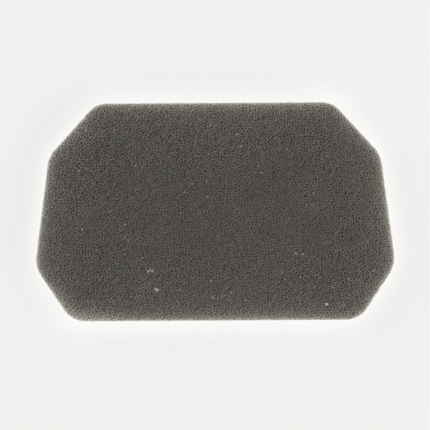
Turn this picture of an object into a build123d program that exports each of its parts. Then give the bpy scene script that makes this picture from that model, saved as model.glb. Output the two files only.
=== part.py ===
from build123d import *
import os

# Foam element of a small engine's air filter: one flat pad of open-cell foam, die-cut from sheet.
# It lies flat on z = 0 with the origin at the middle of its underside. +X runs along its length and
# +Y points at its narrow edge. The two halves either side of the YZ plane are mirror images.
# All sizes are in millimetres. Widths are taken between sharp corners, before they are rounded.

# Sheet
sheet_thickness = 12.0

# Outline, from the narrow edge to the wide edge
narrow_edge_width = 79.2
shoulder_width = 111.2
widest_width = 120.8
wide_edge_width = 96.6
pad_depth = 72.6
narrow_corner_depth = 17.6
wide_corner_depth = 18.2

# Rounds of the cutting die's eight corners, in pairs
narrow_edge_radius = 7.5
shoulder_radius = 10.0
widest_radius = 10.0
wide_edge_radius = 8.5

# Soft round that the cut foam keeps along its top and bottom edges
cut_edge_radius = 0.6


def half_corners():
    """Sharp corners of the +X half, from the narrow edge to the wide edge, each with its radius."""
    narrow_y = pad_depth / 2
    wide_y = -pad_depth / 2
    return [
        (narrow_edge_width / 2, narrow_y, narrow_edge_radius),
        (shoulder_width / 2, narrow_y - narrow_corner_depth, shoulder_radius),
        (widest_width / 2, wide_y + wide_corner_depth, widest_radius),
        (wide_edge_width / 2, wide_y, wide_edge_radius),
    ]


def die_outline():
    """The die's closed outline, with an arc at each corner."""
    right = half_corners()
    left = [(-x, y, radius) for x, y, radius in reversed(right)]
    corners = right + left
    points = [(x, y) for x, y, radius in corners]
    radii = [radius for x, y, radius in corners]
    return FilletPolyline(*points, radius=radii, close=True)


def foam_element():
    """The pad: the outline through the sheet, with its two cut edges eased."""
    pad = extrude(make_face(die_outline()), amount=sheet_thickness)
    faces = pad.faces().sort_by(Axis.Z)
    cut_edges = faces[0].edges() + faces[-1].edges()
    eased_radius = min(cut_edge_radius, sheet_thickness / 4)
    return fillet(cut_edges, radius=eased_radius)


os.makedirs("parts", exist_ok=True)
export_step(foam_element(), "parts/foam_element.step")
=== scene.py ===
import math
from itertools import combinations

import bpy
import numpy as np
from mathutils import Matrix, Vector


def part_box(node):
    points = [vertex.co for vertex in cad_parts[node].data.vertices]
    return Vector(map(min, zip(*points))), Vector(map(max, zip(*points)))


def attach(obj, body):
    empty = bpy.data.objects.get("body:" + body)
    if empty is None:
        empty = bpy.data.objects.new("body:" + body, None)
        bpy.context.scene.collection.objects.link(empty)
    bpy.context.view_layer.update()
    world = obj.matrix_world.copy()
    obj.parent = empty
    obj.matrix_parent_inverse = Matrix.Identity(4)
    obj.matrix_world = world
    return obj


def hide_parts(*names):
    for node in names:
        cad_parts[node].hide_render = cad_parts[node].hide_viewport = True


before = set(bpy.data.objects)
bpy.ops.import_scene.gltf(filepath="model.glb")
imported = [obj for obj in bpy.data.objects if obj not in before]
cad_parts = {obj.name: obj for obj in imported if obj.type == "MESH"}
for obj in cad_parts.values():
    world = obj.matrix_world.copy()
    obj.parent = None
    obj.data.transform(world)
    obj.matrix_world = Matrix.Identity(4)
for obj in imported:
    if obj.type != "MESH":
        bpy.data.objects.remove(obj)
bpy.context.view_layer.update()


# ---- The die's cut -------------------------------------------------------------------------------
# The pad is stamped from flat foam sheet. Its two faces are sliced flat and its wall follows the
# solid's outline. The knife squeezes the foam as it goes through. The cut struts spring back a
# little past its line, and the wall ends up slightly hollow at mid height.
pad_low, pad_high = (np.array(corner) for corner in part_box("foam_element"))
pad_thickness = pad_high[2] - pad_low[2]
spring_back = 0.0004
wall_hollow = 0.00015
nearly_upright = 0.01


def wall_facets():
    """Outward direction and reach of each upright facet of the pad's outline."""
    facets = set()
    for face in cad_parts["foam_element"].data.polygons:
        if abs(face.normal.z) < nearly_upright:
            reach = face.normal.x * face.center.x + face.normal.y * face.center.y
            facets.add((round(face.normal.x, 3), round(face.normal.y, 3), round(reach, 5)))
    table = np.array(sorted(facets))
    return table[:, :2], table[:, 2]


facet_out, facet_reach = wall_facets()


def depth_from_wall(points):
    """How far each point lies inside the finished wall, in metres; negative outside it."""
    inside = np.full(len(points), np.inf)
    for out, reach in zip(facet_out, facet_reach):
        inside = np.minimum(inside, reach - points[:, :2] @ out)
    height = (points[:, 2] - pad_low[2]) / pad_thickness
    return inside + spring_back - wall_hollow * np.sin(math.pi * height.clip(0, 1))


def depth_from_cut(points):
    """How far each point lies below the nearest cut surface, in metres; negative outside."""
    below_top = pad_high[2] - points[:, 2]
    above_base = points[:, 2] - pad_low[2]
    return np.minimum(depth_from_wall(points), np.minimum(below_top, above_base))


# ---- Cells of the foam ---------------------------------------------------------------------------
# Gas bubbles rise in the liquid polyurethane and crowd together until they touch. They are never
# in rows: one bubble starts at a chance place in each cube of a grid, and neighbours that lie too
# close push each other apart. Only the cells near a cut surface are made; no one sees the others.
chance = np.random.default_rng(2407)
cell_pitch = 0.00096
crowding = 1.02
pushes = 9
push_share = 0.35
shell_on_top = 0.00124
shell_at_wall = 0.00124
shell_below = 0.00050
cells_beyond = 1.05 * cell_pitch


def bubbles():
    """Centres of the bubbles, in units of the pitch, and how many there are along each side."""
    # Spare rows all round keep the outermost bubbles, which nothing holds in, clear of the pad.
    spare = 3.5
    size = (pad_high - pad_low) / cell_pitch + 2 * spare
    counts = np.ceil(size).astype(int)
    cubes = np.stack(np.meshgrid(*map(np.arange, counts), indexing="ij"), -1)
    centres = pad_low / cell_pitch - spare + cubes + chance.random(cubes.shape)
    # Half of the cubes around each cube, so that every pair of neighbours is met once.
    steps = [step for step in np.ndindex(3, 3, 3) if step > (1, 1, 1)]
    for _ in range(pushes):
        shift = np.zeros_like(centres)
        for step in steps:
            here = tuple(slice(max(0, 1 - s), n - max(0, s - 1)) for s, n in zip(step, counts))
            there = tuple(slice(max(0, s - 1), n - max(0, 1 - s)) for s, n in zip(step, counts))
            apart = centres[there] - centres[here]
            gap = np.linalg.norm(apart, axis=-1, keepdims=True)
            push = apart / gap * np.maximum(crowding - gap, 0) * push_share
            shift[here] -= push
            shift[there] += push
        centres += shift
    return centres.reshape(-1, 3), counts


def in_shell(points, spare=0.0):
    """Whether each point lies in the shell of cells under the cut surfaces, give or take spare."""
    wall = depth_from_wall(points)
    below_top = pad_high[2] - points[:, 2]
    above_base = points[:, 2] - pad_low[2]
    near = wall < shell_at_wall + spare
    near |= below_top < shell_on_top + spare
    near |= above_base < shell_below + spare
    return near & (np.minimum(wall, np.minimum(below_top, above_base)) > -spare)


def near_neighbours(centres, counts, of, how_many=30, reach=2, batches=40):
    """The nearest bubbles of each bubble in of, nearest first, found among the cubes around it."""
    steps = np.array(list(np.ndindex((2 * reach + 1,) * 3))) - reach
    squared = (steps**2).sum(1)
    # A bubble in a cube at the far corners is too far off to touch the one in the middle.
    steps = steps[(squared > 0) & (squared < 10)]
    others = of[:, None] + steps @ (counts[1] * counts[2], counts[2], 1)
    gap = np.concatenate([
        ((centres[found] - centres[own][:, None]) ** 2).sum(-1)
        for found, own in zip(np.array_split(others, batches), np.array_split(of, batches))
    ])
    return np.take_along_axis(others, np.argsort(gap, 1)[:, :how_many], 1)


def meeting_fours(centres, neighbours, of, widest=1.2, batches=50):
    """Every four bubbles that meet at one point: the sphere through their centres is empty."""
    many = neighbours.shape[1]
    # In this order, the triples among the first few neighbours come first.
    triples = np.array(sorted(combinations(range(many), 3), key=lambda three: three[2]))
    pairs = np.array(list(combinations(range(many), 2)))
    pair_at = np.zeros((many, many), int)
    pair_at[pairs[:, 0], pairs[:, 1]] = np.arange(len(pairs))
    fours = []
    for own, found in zip(np.array_split(of, batches), np.array_split(neighbours, batches)):
        # A four is found once, from its bubble with the lowest number.
        later = found > own[:, None]
        order = np.argsort(~later, axis=1, kind="stable")
        mine = later.sum(1)
        tries = mine * (mine - 1) * (mine - 2) // 6
        row = np.repeat(np.arange(len(own)), tries)
        three = triples[np.arange(tries.sum()) - np.repeat(np.cumsum(tries) - tries, tries)]
        exact = centres[found] - centres[own][:, None]
        later_exact = np.take_along_axis(exact, order[:, :, None], 1)
        arm = later_exact.astype(np.float32)
        square = (arm**2).sum(-1).ravel()
        cross = np.cross(arm[:, pairs[:, 0]], arm[:, pairs[:, 1]]).reshape(-1, 3)
        at = row * len(pairs)
        first, second, third = (row * many + three[:, n] for n in range(3))
        cross_23 = cross[at + pair_at[three[:, 1], three[:, 2]]]
        volume = np.einsum("ij,ij->i", arm.reshape(-1, 3)[first], cross_23)
        centre = square[first][:, None] * cross_23
        centre -= square[second][:, None] * cross[at + pair_at[three[:, 0], three[:, 2]]]
        centre += square[third][:, None] * cross[at + pair_at[three[:, 0], three[:, 1]]]
        # Four centres in one plane have no sphere through them.
        solid = np.abs(volume) > 1e-5
        centre /= 2 * np.where(solid, volume, 1)[:, None]
        keep = solid & ((centre**2).sum(1) < widest**2)
        row, three, centre = row[keep], three[keep], centre[keep]
        # A rough test with the nearest bubbles first leaves few for the exact one.
        flat = exact.astype(np.float32).reshape(-1, 3)
        for n in range(many):
            near = flat[row * many + n]
            keep = (near**2).sum(1) > 2 * np.einsum("ij,ij->i", near, centre) - 0.01
            row, three, centre = row[keep], three[keep], centre[keep]
        a, b, c = (later_exact[row, three[:, n]] for n in range(3))
        bc, ca, ab = np.cross(b, c), np.cross(c, a), np.cross(a, b)
        volume = (a * bc).sum(1)
        centre = (a * a).sum(1)[:, None] * bc + (b * b).sum(1)[:, None] * ca
        centre = (centre + (c * c).sum(1)[:, None] * ab) / (2 * volume)[:, None]
        clear = (exact[row] ** 2).sum(-1) > 2 * np.einsum("ikj,ij->ik", exact[row], centre) - 1e-9
        keep = clear.all(1)
        row, three = row[keep], three[keep]
        named = np.take_along_axis(found, order, 1)[row[:, None], three]
        fours.append(np.concatenate([own[row][:, None], named], 1))
    return np.sort(np.concatenate(fours), axis=1)


def neighbours_across(fours):
    """For each four and each bubble left out of it, the four that shares the other three, or -1."""
    sides = [np.delete(fours, left_out, axis=1) for left_out in range(4)]
    sides = np.stack(sides, 1).reshape(-1, 3)
    order = np.lexsort(sides.T[::-1])
    ranked = sides[order]
    same = (ranked[1:] == ranked[:-1]).all(1)
    same[1:] &= ~same[:-1]
    across = np.full(len(sides), -1)
    across[order[:-1][same]] = order[1:][same]
    across[order[1:][same]] = order[:-1][same]
    return across.reshape(-1, 4)


centres, grid_counts = bubbles()
needed = np.flatnonzero(in_shell(centres * cell_pitch, cells_beyond))
fours = meeting_fours(centres, near_neighbours(centres, grid_counts, needed), needed)
knots = centres[fours].mean(1) * cell_pitch
across = neighbours_across(fours)


# ---- Struts --------------------------------------------------------------------------------------
# Where three bubbles touch, the polyurethane drains into a thin three-sided strut, and four struts
# meet in a knot. The films between the bubbles are burnt away, so air can pass and dirt sticks.
# The knives cut the struts off at the surface. Twelve slabs hold the struts, each light to handle.
strut_radius = 0.000097
strut_spread = 0.2
spread_limit = 2
least_stub = 0.00003
slab_count = 12
# Painted light: how strongly and how far in the pale colour that stands for light coming in through
# the wall is painted on the foam, and a corner where it reaches further and is stronger.
edge_share = 0.49
inner_share = 0.10
edge_depth = 0.00098
inner_depth = 0.0055
thin_corner = (-0.0450, -0.0345)
thin_reach = 0.010
thin_gain = 0.9
thin_brighter = 0.25


def strut_slabs():
    """Vertices, side faces and flat ends of each slab's struts."""
    own_depth = depth_from_cut(knots)
    kept = in_shell(knots) & (own_depth > strut_radius)
    # The number of a corner is four times its knot's number plus its bubble's place in the four.
    toward = centres[fours] * cell_pitch - knots[:, None]
    toward /= np.linalg.norm(toward, axis=-1, keepdims=True)
    spread = chance.standard_normal(len(knots)).clip(-spread_limit, spread_limit)
    radius = strut_radius * np.exp(strut_spread * spread)
    corners = knots[:, None] + toward * radius[:, None, None]
    corners[..., 2] = corners[..., 2].clip(pad_low[2], pad_high[2])
    edges = np.quantile(knots[kept, 0], np.linspace(0, 1, slab_count + 1)[1:-1])
    slab = np.searchsorted(edges, knots[:, 0])
    rest_of = np.array([[n for n in range(4) if n != side] for side in range(4)])
    for number in range(slab_count):
        mine = kept & (slab == number)
        this = np.flatnonzero(mine)
        points = [corners[mine].reshape(-1, 3)]
        new_number = np.cumsum(mine) - 1
        quads, ends = [], []
        used = 4 * mine.sum()
        for side, rest in enumerate(rest_of):
            there = across[this, side] // 4
            far_side = across[this, side] % 4
            missing = across[this, side] < 0
            joined = ~missing & mine[there]
            ring = 4 * new_number[this][:, None] + rest
            # Rings run anticlockwise as seen from the strut's far end.
            ahead = knots[there] - knots[this]
            ahead[missing] = -toward[this[missing], side]
            a, b, c = (corners[this, n] for n in rest)
            clockwise = (np.cross(b - a, c - a) * ahead).sum(1) < 0
            turn = np.where(clockwise[:, None], [0, 2, 1], [0, 1, 2])
            ring = np.take_along_axis(ring, turn, 1)
            ends.append(ring[missing])
            # Whole struts are made once, from the lower knot.
            whole = joined & (this < there)
            far_ring = 4 * new_number[there][:, None] + rest_of[far_side]
            far_ring = np.take_along_axis(far_ring, turn, 1)
            quads.append(tube(ring[whole], far_ring[whole]))
            # A strut that leaves the slab or the pad ends there in a flat cut. Two slabs share a
            # strut, half each, so that they touch.
            stub = ~missing & ~joined
            here, gone = this[stub], there[stub]
            length = np.linalg.norm(ahead[stub], axis=1)
            outside = own_depth[gone] < 0
            share = np.where(kept[gone], 0.5, 1.0)
            to_cut = own_depth[here] / np.maximum(own_depth[here] - own_depth[gone], 1e-9)
            share = np.where(outside, to_cut, share)
            share = np.maximum(share, (radius[here] / 3 + least_stub) / length)
            middle = corners[here][:, rest].mean(1)
            cut = knots[here] + share[:, None] * ahead[stub]
            tip = corners[here][:, rest] + (cut - middle)[:, None]
            tip[..., 2] = tip[..., 2].clip(pad_low[2], pad_high[2])
            points.append(tip.reshape(-1, 3))
            tip_ring = used + np.arange(3 * len(here)).reshape(-1, 3)
            tip_ring = np.take_along_axis(tip_ring, turn[stub], 1)
            used += 3 * len(here)
            quads.append(tube(ring[stub], tip_ring))
            ends.append(tip_ring)
        yield tuple(map(np.concatenate, (points, quads, ends)))


def tube(near, far):
    """The three side faces between two rings of three corners."""
    sides = [
        np.stack([near[:, n], near[:, (n + 1) % 3], far[:, (n + 1) % 3], far[:, n]], 1)
        for n in range(3)
    ]
    return np.concatenate(sides)


def painted_edge_light(points):
    """How far painted light, standing in for light that comes in through the wall, pales the foam: 0
    not at all, 1 fully.
    """
    depth = depth_from_wall(points).clip(0)
    # Near one corner the painted light reaches further in and is stronger.
    to_corner = np.linalg.norm(points[:, :2] - thin_corner, axis=1)
    thinner = np.exp(-((to_corner / thin_reach) ** 2))
    near_wall = np.exp(-depth / (edge_depth * (1 + thin_gain * thinner)))
    further_in = np.exp(-depth / inner_depth)
    return edge_share * (1 + thin_brighter * thinner) * near_wall + inner_share * further_in


def lay_flat(mesh, points):
    """Lays the mesh out on its map as seen from above, stretched to fill the map."""
    low, high = points[:, :2].min(0), points[:, :2].max(0)
    corner = np.empty(len(mesh.loops), np.int32)
    mesh.loops.foreach_get("vertex_index", corner)
    flat = (points[corner, :2] - low) / (high - low)
    mesh.uv_layers.new(name="OFBake").data.foreach_set("uv", flat.astype(np.float32).ravel())


def note(mesh, name, values):
    """Keeps one number for each vertex, for the material to read."""
    kept = mesh.attributes.new(name, "FLOAT", "POINT")
    kept.data.foreach_set("value", values.astype(np.float32))


def painted_light_group():
    """Shader group that paints light into the foam's colour, paling it by its share of the painted
    edge light noted on the mesh.
    """
    group = bpy.data.node_groups.new("painted_light_mix", "ShaderNodeTree")
    group.interface.new_socket("Foam Colour", in_out="INPUT", socket_type="NodeSocketColor")
    group.interface.new_socket("Share of Light", in_out="INPUT", socket_type="NodeSocketFloat")
    group.interface.new_socket("Colour", in_out="OUTPUT", socket_type="NodeSocketColor")
    given = group.nodes.new("NodeGroupInput")
    made = group.nodes.new("NodeGroupOutput")
    light = group.nodes.new("ShaderNodeAttribute")
    light.attribute_name = "painted_edge_light"
    share = group.nodes.new("ShaderNodeMath")
    share.operation = "MULTIPLY"
    # A colour Mix takes its two colours in sockets 6 and 7, and gives the mixed one from output 2.
    pale = group.nodes.new("ShaderNodeMix")
    pale.data_type = "RGBA"
    # Painted light: the pale colour that stands for light coming in through the wall.
    pale.inputs[7].default_value = (0.80, 0.76, 0.683, 1)
    group.links.new(light.outputs["Fac"], share.inputs[0])
    group.links.new(given.outputs["Share of Light"], share.inputs[1])
    group.links.new(share.outputs[0], pale.inputs[0])
    group.links.new(given.outputs["Foam Colour"], pale.inputs[6])
    group.links.new(pale.outputs[2], made.inputs["Colour"])
    return group


def strut_material():
    """Carbon-grey polyurethane: cloudy dye, each strut lighter or darker, and painted light paling
    it at the wall.
    """
    material = bpy.data.materials.new("foam_struts")
    material.use_nodes = True
    nodes, links = material.node_tree.nodes, material.node_tree.links
    shader = nodes["Principled BSDF"]
    shader.inputs["Roughness"].default_value = 0.5
    place = nodes.new("ShaderNodeTexCoord")
    cloud = nodes.new("ShaderNodeTexNoise")
    cloud.inputs["Scale"].default_value = 60
    cloud.inputs["Detail"].default_value = 3
    links.new(place.outputs["Object"], cloud.inputs["Vector"])
    dye_and_painted_shade = nodes.new("ShaderNodeValToRGB")
    dye_and_painted_shade.color_ramp.elements[0].position = 0.3
    dye_and_painted_shade.color_ramp.elements[0].color = (0.113, 0.106, 0.091, 1)
    dye_and_painted_shade.color_ramp.elements[1].position = 0.7
    dye_and_painted_shade.color_ramp.elements[1].color = (0.129, 0.120, 0.102, 1)
    links.new(cloud.outputs["Fac"], dye_and_painted_shade.inputs["Fac"])
    grain_place = nodes.new("ShaderNodeMapping")
    grain_place.inputs["Scale"].default_value = (1, 1, 0.35)
    links.new(place.outputs["Object"], grain_place.inputs["Vector"])
    grain = nodes.new("ShaderNodeTexVoronoi")
    grain.inputs["Scale"].default_value = 2100
    links.new(grain_place.outputs["Vector"], grain.inputs["Vector"])
    grain_tone = nodes.new("ShaderNodeMapRange")
    grain_tone.inputs["From Min"].default_value = 0.1
    grain_tone.inputs["From Max"].default_value = 0.9
    grain_tone.inputs["To Min"].default_value = 0.75
    grain_tone.inputs["To Max"].default_value = 1.25
    links.new(grain.outputs["Color"], grain_tone.inputs["Value"])
    dyed = nodes.new("ShaderNodeMix")
    dyed.data_type = "RGBA"
    dyed.blend_type = "MULTIPLY"
    dyed.inputs[0].default_value = 1.0
    links.new(dye_and_painted_shade.outputs["Color"], dyed.inputs[6])
    links.new(grain_tone.outputs["Result"], dyed.inputs[7])
    # Painted light: pales the struts towards the wall.
    paled = nodes.new("ShaderNodeGroup")
    paled.node_tree = painted_light_mix
    paled.inputs["Share of Light"].default_value = 1.0
    links.new(dyed.outputs[2], paled.inputs["Foam Colour"])
    links.new(paled.outputs["Colour"], shader.inputs["Base Color"])
    return material


painted_light_mix = painted_light_group()
foam_struts = strut_material()
for number, (points, quads, ends) in enumerate(strut_slabs(), 1):
    mesh = bpy.data.meshes.new(f"foam_struts_{number}")
    mesh.from_pydata(points, [], quads.tolist() + ends.tolist())
    mesh.shade_smooth()
    lay_flat(mesh, points)
    # Painted light from the wall, kept on each vertex for the material.
    note(mesh, "painted_edge_light", painted_edge_light(points))
    mesh.materials.append(foam_struts)
    piece = bpy.data.objects.new(mesh.name, mesh)
    bpy.context.scene.collection.objects.link(piece)
    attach(piece, "root")
    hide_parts("foam_element")


# ---- Films ---------------------------------------------------------------------------------------
# The flame that burns the films away misses a few. They are thin flat windows that still close the
# gap between two bubbles, and they catch the light. Their pale colour is painted glint: full at the
# listed flecks, and a little at random on the others.
film_thickness = 0.00002
film_share = 0.005
film_reach = 0.0011
fewest_knots = 4
widest_opening = 2
flecks = (
    (-0.0224, -0.0198, 0.0007),
    (-0.0212, -0.0199, 0.0005),
    (-0.0199, -0.0262, 0.0006),
    (-0.0247, -0.0150, 0.0004),
    (0.0096, -0.0265, 0.0004),
    (0.0372, -0.0316, 0.0004),
)


def windows():
    """Each window near the top face: the two bubbles on its sides and the knots round it."""
    near_top = np.flatnonzero((pad_high[2] - knots[:, 2] < film_reach) & (depth_from_cut(knots) > 0))
    pairs = np.concatenate([fours[near_top][:, two] for two in combinations(range(4), 2)])
    knot = np.tile(near_top, 6)
    order = np.lexsort((pairs[:, 1], pairs[:, 0]))
    pairs, knot = pairs[order], knot[order]
    starts = np.flatnonzero(np.append(True, (pairs[1:] != pairs[:-1]).any(1)))
    return [
        (pairs[first], knot[first:last])
        for first, last in zip(starts, np.append(starts[1:], len(knot)))
        if last - first >= fewest_knots
    ]


points, faces, painted_glint = [], [], []
for (one, other), ring in windows():
    middle = knots[ring].mean(0)
    fleck = any(math.hypot(middle[0] - x, middle[1] - y) < reach for x, y, reach in flecks)
    if chance.random() > film_share and not fleck:
        continue
    axis = centres[other] - centres[one]
    axis = axis / np.linalg.norm(axis)
    along = np.cross(axis, (axis[1], axis[2], axis[0]))
    around = knots[ring] - middle
    angle = np.arctan2(around @ np.cross(axis, along), around @ along)
    # A ring with a wide opening between two knots runs out of the pad, so it holds no film.
    if np.diff(np.sort(np.append(angle, angle.min() + 2 * math.pi))).max() > widest_opening:
        continue
    ring = ring[np.argsort(angle)]
    count, used = len(ring), sum(map(len, points))
    side = axis * film_thickness / 2
    points.append(np.concatenate([knots[ring] + side, knots[ring] - side]))
    upper = [used + n for n in range(count)]
    lower = [used + count + n for n in range(count)]
    faces += [upper, lower[::-1]]
    faces += [(lower[n - 1], lower[n], upper[n], upper[n - 1]) for n in range(count)]
    # Painted glint: full at the listed flecks, a little at random on the other films.
    painted_glint.append(np.full(2 * count, 1.0 if fleck else 0.25 * chance.random()))
points = np.concatenate(points)
mesh = bpy.data.meshes.new("foam_films")
mesh.from_pydata(points, [], faces)
lay_flat(mesh, points)
note(mesh, "painted_glint", np.concatenate(painted_glint))


def film_material():
    """Bare polyurethane skin: a little shiny, and painted pale as a painted glint at the flecks."""
    material = bpy.data.materials.new("foam_films")
    material.use_nodes = True
    nodes, links = material.node_tree.nodes, material.node_tree.links
    shader = nodes["Principled BSDF"]
    shader.inputs["Roughness"].default_value = 0.35
    pale = nodes.new("ShaderNodeAttribute")
    pale.attribute_name = "painted_glint"
    tone = nodes.new("ShaderNodeValToRGB")
    tone.color_ramp.elements[0].color = (0.115, 0.110, 0.098, 1)
    tone.color_ramp.elements[1].color = (0.30, 0.288, 0.258, 1)
    links.new(pale.outputs["Fac"], tone.inputs["Fac"])
    links.new(tone.outputs["Color"], shader.inputs["Base Color"])
    return material


mesh.materials.append(film_material())
films = bpy.data.objects.new("foam_films", mesh)
bpy.context.scene.collection.objects.link(films)
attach(films, "root")


# ---- Dark heart of the foam ----------------------------------------------------------------------
# The cells further in get and give back almost no light, so they are one dark mass in painted
# shade. It starts where the made struts end, and its surface is as uneven as the cells are.
heart_inset = 0.00108
heart_dimple = 0.00035
heart_wider = 0.0003
heart_facet = 0.001
dimple_width = 1.5 * cell_pitch
bpy.ops.object.select_all(action="DESELECT")
heart = bpy.data.objects.new("foam_heart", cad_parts["foam_element"].data.copy())
heart.data.name = "foam_heart"
heart.data.materials.clear()
bpy.context.scene.collection.objects.link(heart)
bpy.context.view_layer.objects.active = heart
heart.select_set(True)
bpy.ops.object.mode_set(mode="EDIT")
bpy.ops.mesh.select_all(action="SELECT")
bpy.ops.mesh.remove_doubles(threshold=1e-6)
bpy.ops.object.mode_set(mode="OBJECT")
remesh = heart.modifiers.new("even_faces", "REMESH")
remesh.mode = "VOXEL"
remesh.voxel_size = heart_facet
shrink = heart.modifiers.new("inset", "DISPLACE")
shrink.mid_level = 0
shrink.strength = -heart_inset
dimples = heart.modifiers.new("dimples", "DISPLACE")
dimples.texture = bpy.data.textures.new("heart_cells", "VORONOI")
dimples.texture.noise_scale = dimple_width
dimples.mid_level = 0
dimples.strength = -heart_dimple
for modifier in ("even_faces", "inset", "dimples"):
    bpy.ops.object.modifier_apply(modifier=modifier)
bpy.ops.object.mode_set(mode="EDIT")
bpy.ops.mesh.select_all(action="SELECT")
wider = 1 + 2 * heart_wider / (pad_high - pad_low)
bpy.ops.transform.resize(value=(wider[0], wider[1], 1), center_override=(0, 0, 0))
bpy.ops.object.mode_set(mode="OBJECT")
bpy.ops.object.shade_smooth()


def heart_material():
    """Deep foam in painted shade: nearly black between painted struts, a little lighter along them,
    and paled at the wall by painted light.
    """
    material = bpy.data.materials.new("foam_heart")
    material.use_nodes = True
    nodes, links = material.node_tree.nodes, material.node_tree.links
    shader = nodes["Principled BSDF"]
    shader.inputs["Roughness"].default_value = 0.9
    place = nodes.new("ShaderNodeTexCoord")
    cells = nodes.new("ShaderNodeTexVoronoi")
    cells.feature = "DISTANCE_TO_EDGE"
    cells.inputs["Scale"].default_value = 1 / cell_pitch
    links.new(place.outputs["Object"], cells.inputs["Vector"])
    # Painted shade: the dark of the deep cells, a little lighter along painted struts at the cell
    # edges.
    dye_and_painted_shade = nodes.new("ShaderNodeValToRGB")
    dye_and_painted_shade.color_ramp.elements[0].position = 0.0
    dye_and_painted_shade.color_ramp.elements[0].color = (0.050, 0.0475, 0.041, 1)
    dye_and_painted_shade.color_ramp.elements[1].position = 0.25
    dye_and_painted_shade.color_ramp.elements[1].color = (0.011, 0.0104, 0.009, 1)
    links.new(cells.outputs["Distance"], dye_and_painted_shade.inputs["Fac"])
    # Painted light pales the heart towards the wall, at a smaller share than the struts.
    paled = nodes.new("ShaderNodeGroup")
    paled.node_tree = painted_light_mix
    paled.inputs["Share of Light"].default_value = 0.8
    links.new(dye_and_painted_shade.outputs["Color"], paled.inputs["Foam Colour"])
    links.new(paled.outputs["Colour"], shader.inputs["Base Color"])
    return material


heart_points = np.empty(3 * len(heart.data.vertices))
heart.data.vertices.foreach_get("co", heart_points)
note(heart.data, "painted_edge_light", painted_edge_light(heart_points.reshape(-1, 3)))
heart.data.materials.append(heart_material())
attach(heart, "root")
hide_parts("foam_element")


# ---- Table, light and camera ---------------------------------------------------------------------
# The pad lies on a pale table, in even light from all round and from two large soft lamps. The
# table glows evenly, and painted light makes it a little brighter close to the pad. The camera looks
# straight down from above.
bpy.ops.object.select_all(action="DESELECT")
bpy.ops.mesh.primitive_plane_add(size=4)
table = bpy.context.object
table.name = "table"
paper = bpy.data.materials.new("table_paper")
paper.use_nodes = True
paper_shader = paper.node_tree.nodes["Principled BSDF"]
paper_shader.inputs["Base Color"].default_value = (0.12, 0.12, 0.12, 1)
paper_shader.inputs["Roughness"].default_value = 0.8
paper_shader.inputs["Specular IOR Level"].default_value = 0.1
paper_shader.inputs["Emission Strength"].default_value = 1.0
paper_nodes, paper_links = paper.node_tree.nodes, paper.node_tree.links
paper_open = paper_nodes.new("ShaderNodeAmbientOcclusion")
paper_open.samples = 8
paper_open.inputs["Distance"].default_value = 0.010
# Painted light: the table's glow is brighter where the pad shuts out part of its sky, a painted pool
# of light round the pad.
paper_glow_and_painted_halo = paper_nodes.new("ShaderNodeValToRGB")
paper_glow_and_painted_halo.color_ramp.elements[0].position = 0.5
paper_glow_and_painted_halo.color_ramp.elements[0].color = (0.84, 0.84, 0.83, 1)
paper_glow_and_painted_halo.color_ramp.elements[1].position = 1.0
paper_glow_and_painted_halo.color_ramp.elements[1].color = (0.675, 0.675, 0.664, 1)
paper_links.new(paper_open.outputs["AO"], paper_glow_and_painted_halo.inputs["Fac"])
paper_links.new(paper_glow_and_painted_halo.outputs["Color"], paper_shader.inputs["Emission Color"])
table.data.materials.append(paper)

world = bpy.data.worlds.new("studio")
world.use_nodes = True
world.node_tree.nodes["Background"].inputs["Color"].default_value = (1, 1, 1, 1)
world.node_tree.nodes["Background"].inputs["Strength"].default_value = 0.7
bpy.context.scene.world = world
bpy.context.scene.view_settings.view_transform = "Standard"

for name, place, power, colour in (
    ("softbox_left", (-0.7, 0.3, 0.9), 9, (0.97, 0.99, 1.0)),
    ("softbox_right", (0.7, -0.3, 0.9), 12, (1.0, 0.95, 0.89)),
):
    bpy.ops.object.light_add(type="AREA", location=place)
    lamp = bpy.context.object
    lamp.name = name
    lamp.data.size = 0.9
    lamp.data.energy = power
    lamp.data.color = colour
    lamp.rotation_euler = (-lamp.location).to_track_quat("-Z", "Y").to_euler()

view_width = 0.14473
view_turn = math.radians(-0.347)
camera_height = 3.0
sensor_width = 36
bpy.ops.object.camera_add(location=(0, -0.0011, pad_high[2] + camera_height))
camera = bpy.context.object
camera.rotation_euler = (0, 0, view_turn)
camera.data.sensor_width = sensor_width
camera.data.lens = sensor_width * camera_height / view_width
camera.data.clip_start = 0.05
bpy.context.scene.camera = camera
